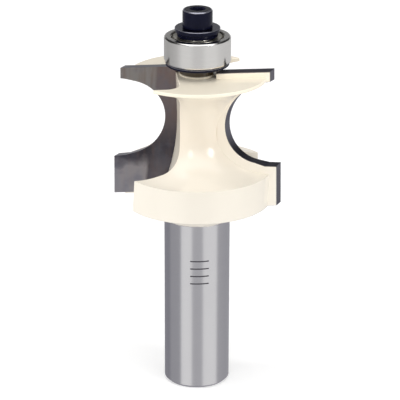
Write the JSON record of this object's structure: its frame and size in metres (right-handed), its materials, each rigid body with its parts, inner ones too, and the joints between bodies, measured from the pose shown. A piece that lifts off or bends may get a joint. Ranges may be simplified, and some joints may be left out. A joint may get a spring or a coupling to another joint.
{
  "type": "router bit",
  "caption": "Cove-profile router bit with brazed cutting plates on a painted head, a plain round shank, and a ball bearing guide held on top by a socket head screw.",
  "frame": {"origin": "centre of the shank's lower end", "axes": "+Z along the shank towards the bearing; the right plate's rake face faces +Y"},
  "size_m": [0.0322, 0.0288, 0.0755],
  "materials": {
    "body": "cream paint on the head, ground bare steel on the shank",
    "carbide": "finely ground dark grey carbide",
    "black_oxide": "black oxide, lightly oiled",
    "bearing_steel": "polished bearing steel",
    "cage_steel": "pressed sheet steel",
    "shield_steel": "pressed sheet steel, satin",
    "wire_steel": "drawn spring wire"
  },
  "bodies": {
    "body": {"cutter_body": "body", "carbide_tip_right": "carbide", "carbide_tip_left": "carbide", "lower_washer": "black_oxide", "bearing_inner_ring": "bearing_steel", "top_spacer": "black_oxide", "top_washer": "black_oxide", "cap_screw": "black_oxide"},
    "outer_ring": {"bearing_outer_ring": "bearing_steel", "upper_shield": "shield_steel", "upper_shield_wire": "wire_steel", "lower_shield": "shield_steel", "lower_shield_wire": "wire_steel"},
    "cage": {"cage_lower": "cage_steel", "cage_upper": "cage_steel"},
    "ball_body_1": {"ball_1": "bearing_steel"},
    "ball_body_2": {"ball_2": "bearing_steel"},
    "ball_body_3": {"ball_3": "bearing_steel"},
    "ball_body_4": {"ball_4": "bearing_steel"},
    "ball_body_5": {"ball_5": "bearing_steel"},
    "ball_body_6": {"ball_6": "bearing_steel"},
    "ball_body_7": {"ball_7": "bearing_steel"}
  },
  "joints": [
    {"name": "bearing_spin", "type": "hinge", "parent": "body", "child": "outer_ring", "pos_m": [0, 0, 0.06783], "axis": [0, 0, 1], "continuous": true},
    {"name": "cage_spin", "type": "hinge", "parent": "body", "child": "cage", "pos_m": [0, 0, 0.06783], "axis": [0, 0, 1], "continuous": true},
    {"name": "ball_1_spin", "type": "hinge", "parent": "cage", "child": "ball_body_1", "pos_m": [0.00436, 0, 0.06783], "axis": [0, 0, 1], "continuous": true},
    {"name": "ball_2_spin", "type": "hinge", "parent": "cage", "child": "ball_body_2", "pos_m": [0.00272, 0.00341, 0.06783], "axis": [0, 0, 1], "continuous": true},
    {"name": "ball_3_spin", "type": "hinge", "parent": "cage", "child": "ball_body_3", "pos_m": [-0.00097, 0.00426, 0.06783], "axis": [0, 0, 1], "continuous": true},
    {"name": "ball_4_spin", "type": "hinge", "parent": "cage", "child": "ball_body_4", "pos_m": [-0.00393, 0.00189, 0.06783], "axis": [0, 0, 1], "continuous": true},
    {"name": "ball_5_spin", "type": "hinge", "parent": "cage", "child": "ball_body_5", "pos_m": [-0.00393, -0.00189, 0.06783], "axis": [0, 0, 1], "continuous": true},
    {"name": "ball_6_spin", "type": "hinge", "parent": "cage", "child": "ball_body_6", "pos_m": [-0.00097, -0.00426, 0.06783], "axis": [0, 0, 1], "continuous": true},
    {"name": "ball_7_spin", "type": "hinge", "parent": "cage", "child": "ball_body_7", "pos_m": [0.00272, -0.00341, 0.06783], "axis": [0, 0, 1], "continuous": true}
  ],
  "couplings": [
    {"joint": "cage_spin", "follows": "bearing_spin", "ratio": 0.63631},
    {"joint": "ball_1_spin", "follows": "bearing_spin", "ratio": 1.6977},
    {"joint": "ball_2_spin", "follows": "bearing_spin", "ratio": 1.6977},
    {"joint": "ball_3_spin", "follows": "bearing_spin", "ratio": 1.6977},
    {"joint": "ball_4_spin", "follows": "bearing_spin", "ratio": 1.6977},
    {"joint": "ball_5_spin", "follows": "bearing_spin", "ratio": 1.6977},
    {"joint": "ball_6_spin", "follows": "bearing_spin", "ratio": 1.6977},
    {"joint": "ball_7_spin", "follows": "bearing_spin", "ratio": 1.6977}
  ]
}
